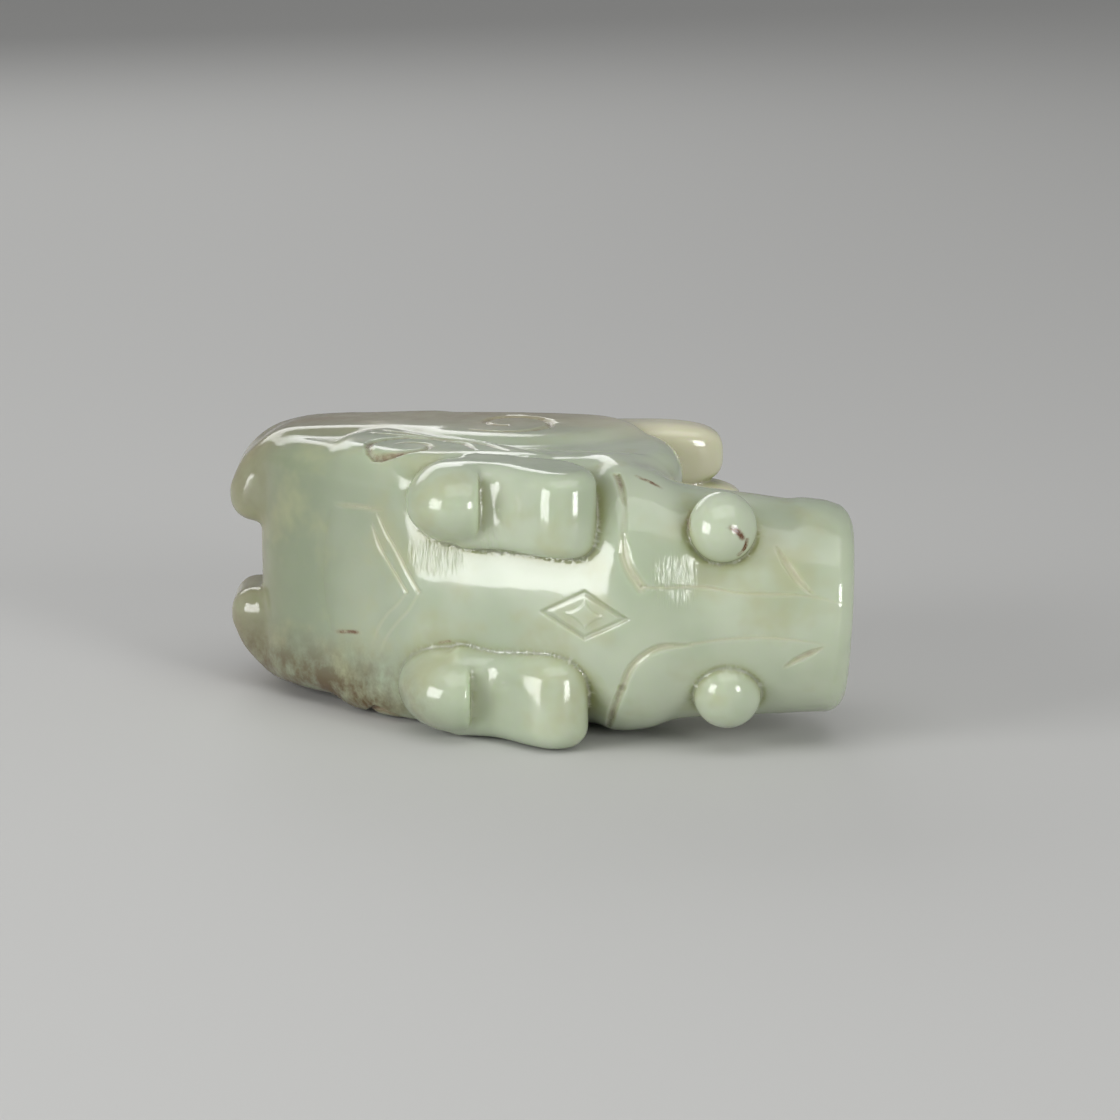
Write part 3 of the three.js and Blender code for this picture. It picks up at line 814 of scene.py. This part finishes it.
def jade():
    """Pale nephrite, sawn, ground and polished with a soft lap: light sinks a few millimetres
    into it and comes back milky green, the surface has a waxy gloss, and old brown soil stays
    in the carved lines. The creases are darkened olive as painted shade, with a little soil."""
    material = bpy.data.materials.new("polished_celadon_nephrite")
    material.use_nodes = True
    tree = material.node_tree
    tree.nodes.clear()
    place = add(tree, "ShaderNodeTexCoord", {}, out="Object")
    in_mm = add(tree, "ShaderNodeMapping", {"Vector": place, "Scale": (1000, 1000, 1000)})
    axes = tree.nodes.new("ShaderNodeSeparateXYZ")
    tree.links.new(in_mm, axes.inputs[0])
    crease = add(tree, "ShaderNodeAttribute", {"attribute_name": "crease"}, out="Fac")
    stain = add(tree, "ShaderNodeAttribute", {"attribute_name": "stain"}, out="Fac")
    frost = add(tree, "ShaderNodeAttribute", {"attribute_name": "frost"}, out="Fac")
    grind = add(tree, "ShaderNodeAttribute", {"attribute_name": "grind"}, out="Fac")

    # Clouds of about 10 mm in the green
    cloud = add(tree, "ShaderNodeTexNoise", {"Vector": in_mm, "Scale": 0.1, "Detail": 2.5})
    cloud = add(tree, "ShaderNodeMapRange", {0: cloud, 1: 0.36, 2: 0.64,
                                             "interpolation_type": "SMOOTHSTEP"})
    green = add(tree, "ShaderNodeMix", {"data_type": "RGBA", SHARE: cloud,
                                        LOW: linear("#b0bba4"), HIGH: linear("#bec7b2")}, COLOUR)
    # Painted shade: the stone is made greyer and darker towards the tail, whose back turns away from
    # the lamps
    tail_shade = add(tree, "ShaderNodeMapRange", {0: axes.outputs["X"], 1: -24.0, 2: -8.0, 3: 0.75, 4: 0.0,
                                            "interpolation_type": "SMOOTHSTEP"})
    green = add(tree, "ShaderNodeMix", {"data_type": "RGBA", SHARE: tail_shade, LOW: green,
                                        HIGH: linear("#78836a")}, COLOUR)
    # Warmer, yellower stone in patches
    warm = add(tree, "ShaderNodeTexNoise", {"Vector": in_mm, "Scale": 0.16, "Detail": 3,
                                            "Roughness": 0.6})
    warm = add(tree, "ShaderNodeMapRange", {0: warm, 1: 0.48, 2: 0.72, 4: 0.55,
                                            "interpolation_type": "SMOOTHSTEP"})
    green = add(tree, "ShaderNodeMix", {"data_type": "RGBA", SHARE: warm, LOW: green,
                                        HIGH: linear("#b0b18c")}, COLOUR)
    # The skin of the pebble, beige and clouded brown, over the rump, haunches and tail
    depth = add(tree, "ShaderNodeMapRange", {0: axes.outputs["Y"], 1: 2.0, 2: 13.0,
                                             "interpolation_type": "SMOOTHSTEP"})
    grain = add(tree, "ShaderNodeTexNoise", {"Vector": in_mm, "Scale": 0.22, "Detail": 4,
                                             "Roughness": 0.62})
    grain = add(tree, "ShaderNodeMapRange", {0: grain, 1: 0.35, 2: 0.7})
    skin = add(tree, "ShaderNodeMix", {"data_type": "RGBA", SHARE: grain,
                                       LOW: linear("#a39d83"), HIGH: linear("#8c7a5c")}, COLOUR)
    toes = add(tree, "ShaderNodeMapRange", {0: axes.outputs["X"], 1: 3.0, 2: 12.0})
    skin = add(tree, "ShaderNodeMix", {"data_type": "RGBA", SHARE: toes, LOW: skin,
                                       HIGH: linear("#e2dcc4")}, COLOUR)
    skin_share = add(tree, "ShaderNodeMath", {"operation": "MULTIPLY", 0: depth, 1: 0.75})
    green = add(tree, "ShaderNodeMix", {"data_type": "RGBA", SHARE: skin_share, LOW: green,
                                        HIGH: skin}, COLOUR)
    # Painted shade: creases are darkened towards olive, with a little soil
    crease_shade = add(tree, "ShaderNodeMath", {"operation": "MULTIPLY", 0: crease, 1: 0.8,
                                         "use_clamp": True})
    green = add(tree, "ShaderNodeMix", {"data_type": "RGBA", SHARE: crease_shade, LOW: green,
                                        HIGH: linear("#969a68")}, COLOUR)
    # Brown mottling of the flank that the carving lies on, low down and to the rear: brown staining,
    # made darker as painted shade near the table
    low = add(tree, "ShaderNodeMapRange", {0: axes.outputs["Z"], 1: 1.0, 2: 8.5, 3: 1.0, 4: 0.0,
                                           "interpolation_type": "SMOOTHSTEP"})
    behind = add(tree, "ShaderNodeMapRange", {0: axes.outputs["X"], 1: -15.0, 2: -7.0, 3: 1.0,
                                              4: 0.0})
    mottle = add(tree, "ShaderNodeTexNoise", {"Vector": in_mm, "Scale": 0.4, "Detail": 5,
                                              "Roughness": 0.65})
    mottle = add(tree, "ShaderNodeMapRange", {0: mottle, 1: 0.3, 2: 0.6})
    low = add(tree, "ShaderNodeMath", {"operation": "MULTIPLY", 0: low, 1: behind})
    low = add(tree, "ShaderNodeMath", {"operation": "MULTIPLY", 0: low, 1: mottle})
    green = add(tree, "ShaderNodeMix", {"data_type": "RGBA", SHARE: low, LOW: green,
                                        HIGH: linear("#5d4a2c")}, COLOUR)
    # A line's rough floor scatters light and looks frosted
    chalky = add(tree, "ShaderNodeMath", {"operation": "MULTIPLY", 0: frost, 1: 0.7})
    green = add(tree, "ShaderNodeMix", {"data_type": "RGBA", SHARE: chalky, LOW: green,
                                        HIGH: linear("#d6d5b8")}, COLOUR)
    # Brown soil in the carved lines, broken up along them
    broken = add(tree, "ShaderNodeTexNoise", {"Vector": in_mm, "Scale": 0.6, "Detail": 5,
                                              "Roughness": 0.7})
    broken = add(tree, "ShaderNodeMapRange", {0: broken, 1: 0.38, 2: 0.62})
    soil = add(tree, "ShaderNodeMath", {"operation": "MULTIPLY", 0: stain, 1: broken,
                                        "use_clamp": True})
    green = add(tree, "ShaderNodeMix", {"data_type": "RGBA", SHARE: soil, LOW: green,
                                        HIGH: linear("#6b4526")}, COLOUR)
    # Lapping leaves a fine waviness, and gloss that is less even in some places
    wave = add(tree, "ShaderNodeTexNoise", {"Vector": in_mm, "Scale": 0.9, "Detail": 3})
    bump = add(tree, "ShaderNodeBump", {"Height": wave, "Strength": 0.12, "Distance": 0.0001})
    # Grinding marks about 0.3 mm apart, across the carving's length
    across = add(tree, "ShaderNodeMapping", {"Vector": in_mm, "Scale": (2.6, 0.5, 0.5)})
    streak = add(tree, "ShaderNodeTexNoise", {"Vector": across, "Scale": 1.0, "Detail": 4})
    bump = add(tree, "ShaderNodeBump", {"Height": streak, "Strength": grind,
                                        "Distance": 0.00016, "Normal": bump})
    haze = add(tree, "ShaderNodeMapRange", {0: warm, 1: 0.0, 2: 0.6, 3: 0.1, 4: 0.2})
    haze = add(tree, "ShaderNodeMath", {"operation": "MULTIPLY_ADD", 0: frost, 1: 0.35, 2: haze})
    surface = add(tree, "ShaderNodeBsdfPrincipled", {
        "Base Color": green, "Roughness": haze, "Normal": bump, "IOR": 1.62,
        "Subsurface Weight": 1.0, "Subsurface Radius": (0.9, 1.1, 0.75),
        "Subsurface Scale": 0.0016,
    })
    add(tree, "ShaderNodeOutputMaterial", {"Surface": surface})
    return material


bird.data.materials.append(jade())
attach(bird, "root")
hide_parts("jade_bird")


# Table, light and camera

def floor():
    m = bpy.data.meshes.new("table")
    r = 2.0
    m.from_pydata([(-r, -r, 0), (r, -r, 0), (r, r, 0), (-r, r, 0)], [], [(0, 1, 2, 3)])
    o = bpy.data.objects.new("table", m)
    bpy.context.scene.collection.objects.link(o)
    material = bpy.data.materials.new("matt_pale_board")
    material.use_nodes = True
    shader = material.node_tree.nodes["Principled BSDF"]
    shader.inputs["Base Color"].default_value = linear("#c9c9c7")
    shader.inputs["Roughness"].default_value = 0.65
    m.materials.append(material)


def softbox(name, azimuth, elevation, distance, size, power, aim):
    """A square lamp at a compass direction from the camera's side, facing the carving."""
    data = bpy.data.lights.new(name, "AREA")
    data.shape = "RECTANGLE"
    data.size, data.size_y = size
    data.energy = power
    lamp = bpy.data.objects.new(name, data)
    a, e = math.radians(azimuth), math.radians(elevation)
    away = Vector((math.sin(a) * math.cos(e), -math.cos(a) * math.cos(e), math.sin(e)))
    lamp.location = aim + away * distance
    lamp.rotation_mode = "QUATERNION"
    lamp.rotation_quaternion = away.to_track_quat("Z", "Y")
    bpy.context.scene.collection.objects.link(lamp)


def camera(aim, distance, elevation, view_width):
    data = bpy.data.cameras.new("camera")
    data.sensor_width = 36.0
    data.lens = data.sensor_width * distance / view_width
    data.clip_start = 0.01
    data.clip_end = 10
    o = bpy.data.objects.new("camera", data)
    e = math.radians(elevation)
    away = Vector((0, -math.cos(e), math.sin(e)))
    o.location = aim + away * distance
    o.rotation_mode = "QUATERNION"
    o.rotation_quaternion = away.to_track_quat("Z", "Y")
    bpy.context.scene.collection.objects.link(o)
    bpy.context.scene.camera = o


AIM = Vector(placed(np.array([0.0, 0.0, 5.21])))
floor()
softbox("left_window", -60, 14.5, 0.55, (0.30, 0.29), 1.9, AIM)
softbox("right_window", 40, 16, 0.60, (0.17, 0.24), 1.5, AIM)
softbox("low_back", -160, 24, 0.60, (0.40, 0.18), 0.45, AIM)
softbox("overhead", 10, 72, 0.60, (0.70, 0.40), 1.1, AIM)
camera(AIM, 0.380, 12, 0.0952)

world = bpy.data.worlds.new("room")
bpy.context.scene.world = world
world.use_nodes = True
world.node_tree.nodes["Background"].inputs["Color"].default_value = (1, 1, 1, 1)
world.node_tree.nodes["Background"].inputs["Strength"].default_value = 0.27
bpy.context.scene.view_settings.view_transform = "Standard"
